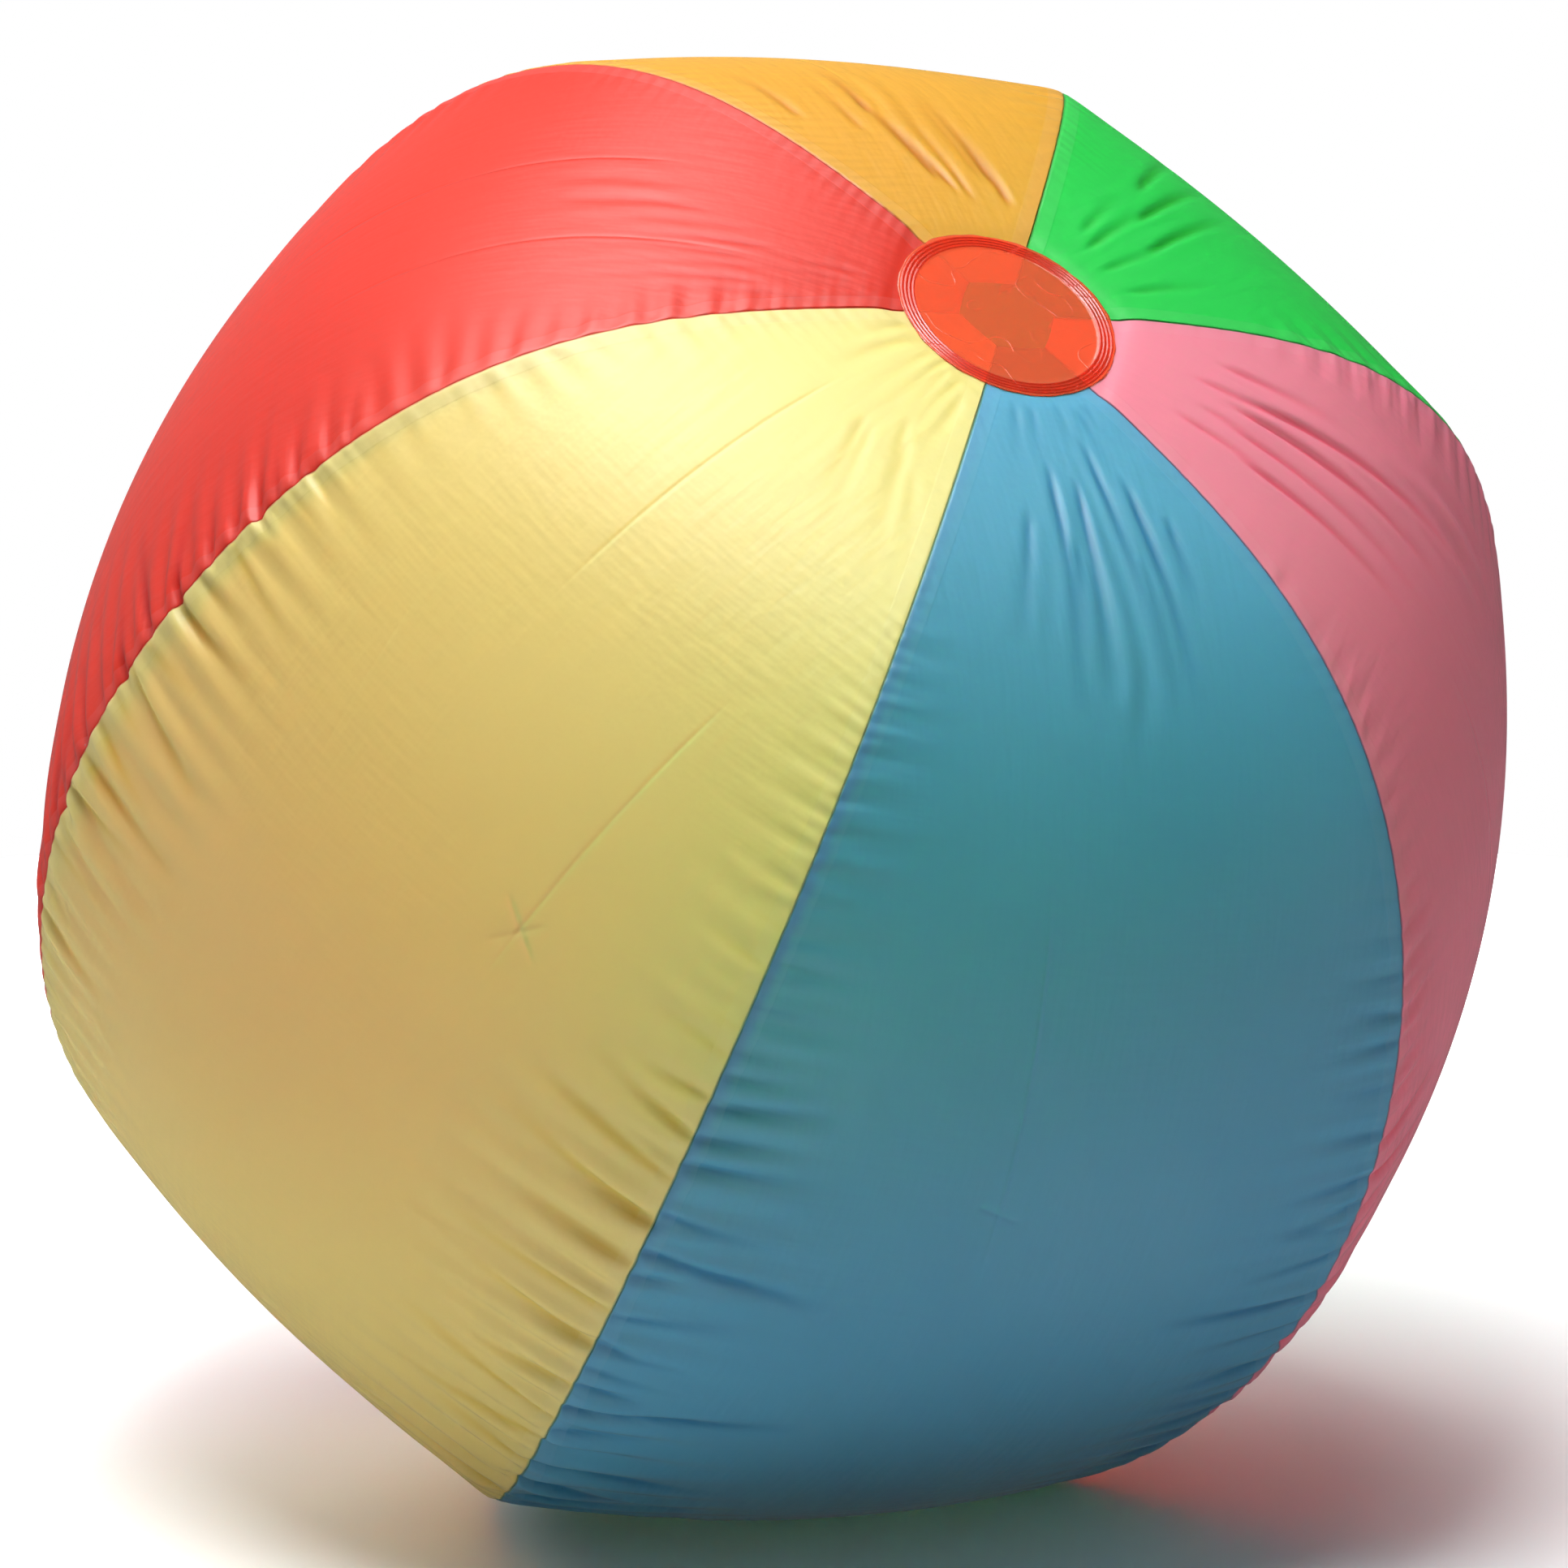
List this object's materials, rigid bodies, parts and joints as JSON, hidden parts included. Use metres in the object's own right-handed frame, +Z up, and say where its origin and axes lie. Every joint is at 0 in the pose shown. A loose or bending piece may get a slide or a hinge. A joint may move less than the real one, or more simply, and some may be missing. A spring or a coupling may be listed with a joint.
{
  "type": "inflatable beach ball",
  "caption": "Round inflatable ball of coloured translucent gores with a disc over each pole and a plugged push-in air valve.",
  "frame": {"origin": "on the ground under the middle of the inflated ball, at the bottom centre of its box", "axes": "+Z up from the flattened underside; the ball's polar axis leans 37.5 degrees, toward +X and -Y"},
  "size_m": [0.5706, 0.5978, 0.5644],
  "materials": {
    "film_red": "soft translucent satin vinyl film",
    "film_yellow": "soft translucent satin vinyl film",
    "film_blue": "soft translucent satin vinyl film",
    "film_pink": "soft translucent satin vinyl film",
    "film_green": "soft translucent satin vinyl film",
    "film_amber": "soft translucent satin vinyl film",
    "disc_film": "clear tinted vinyl film",
    "valve_film": "thin clear vinyl web",
    "valve_vinyl": "soft moulded translucent vinyl"
  },
  "bodies": {
    "ball": {"gore_red": "film_red", "gore_yellow": "film_yellow", "gore_blue": "film_blue", "gore_pink": "film_pink", "gore_green": "film_green", "gore_amber": "film_amber", "top_disc": "disc_film", "bottom_disc": "disc_film", "valve_flange": "valve_vinyl", "valve_web": "valve_film"},
    "stem": {"valve_stem": "valve_vinyl"},
    "plug": {"plug_strap": "valve_vinyl", "valve_plug": "valve_vinyl"},
    "flap": {"check_flap": "valve_vinyl"}
  },
  "joints": [
    {"name": "valve_push", "type": "slide", "parent": "ball", "child": "stem", "axis": [0.4357, -0.8898, 0.136], "range_m": [0, 0.012], "deforming": ["valve_web"]},
    {"name": "plug_swing", "type": "hinge", "parent": "stem", "child": "plug", "pos_m": [-0.13157, 0.26629, 0.22657], "axis": [-0.8997, -0.426, 0.0952], "range_deg": [0, 170]},
    {"name": "flap_swing", "type": "hinge", "parent": "stem", "child": "flap", "pos_m": [-0.12104, 0.24927, 0.2499], "axis": [-0.8997, -0.426, 0.0952], "range_deg": [0, 60]}
  ]
}
